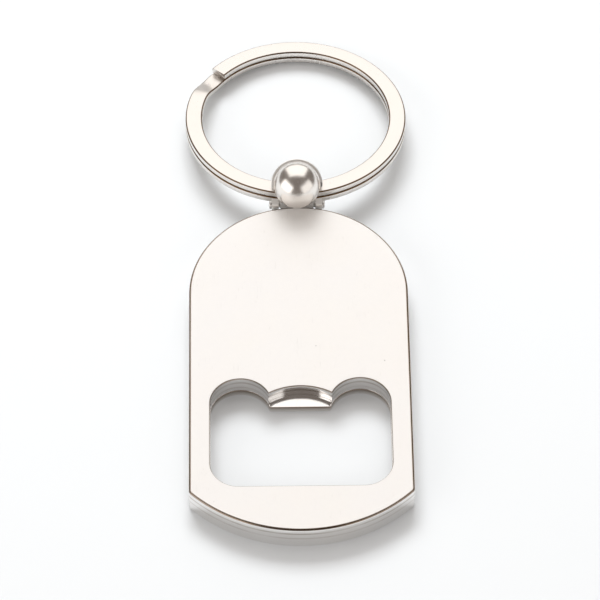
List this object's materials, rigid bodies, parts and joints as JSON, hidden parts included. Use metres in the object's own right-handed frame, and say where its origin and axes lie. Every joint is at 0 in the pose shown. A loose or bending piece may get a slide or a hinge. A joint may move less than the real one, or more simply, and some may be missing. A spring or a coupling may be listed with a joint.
{
  "type": "key-ring bottle opener",
  "caption": "Plated bottle opener tag with a cap mouth and lip, joined by a hinged yoke with a ball to a split key ring.",
  "frame": {"origin": "under the centre of the tag's round head, on the tag's flat back face", "axes": "+Y from the mouth to the key ring along the tag, +Z out of the front face, +X across the tag"},
  "size_m": [0.032, 0.0894, 0.0099],
  "materials": {
    "tag_metal": "bright plating, satin on the flat faces",
    "pin_metal": "fine turned steel",
    "yoke_metal": "bright plating",
    "ball_metal": "mirror polish",
    "ring_metal": "bright plating over spring steel"
  },
  "bodies": {
    "opener": {"opener_body": "tag_metal"},
    "yoke": {"yoke": "yoke_metal", "ball": "ball_metal", "hinge_pin": "pin_metal"},
    "ring": {"split_ring": "ring_metal"}
  },
  "joints": [
    {"name": "yoke_hinge", "type": "hinge", "parent": "opener", "child": "yoke", "pos_m": [0, 0.01774, 0.00145], "axis": [1, 0, 0], "range_deg": [-140, 0]},
    {"name": "ring_swing", "type": "hinge", "parent": "yoke", "child": "ring", "pos_m": [0, 0.01761, 0.00421], "axis": [1, 0, 0], "range_deg": [-20, 150]}
  ]
}
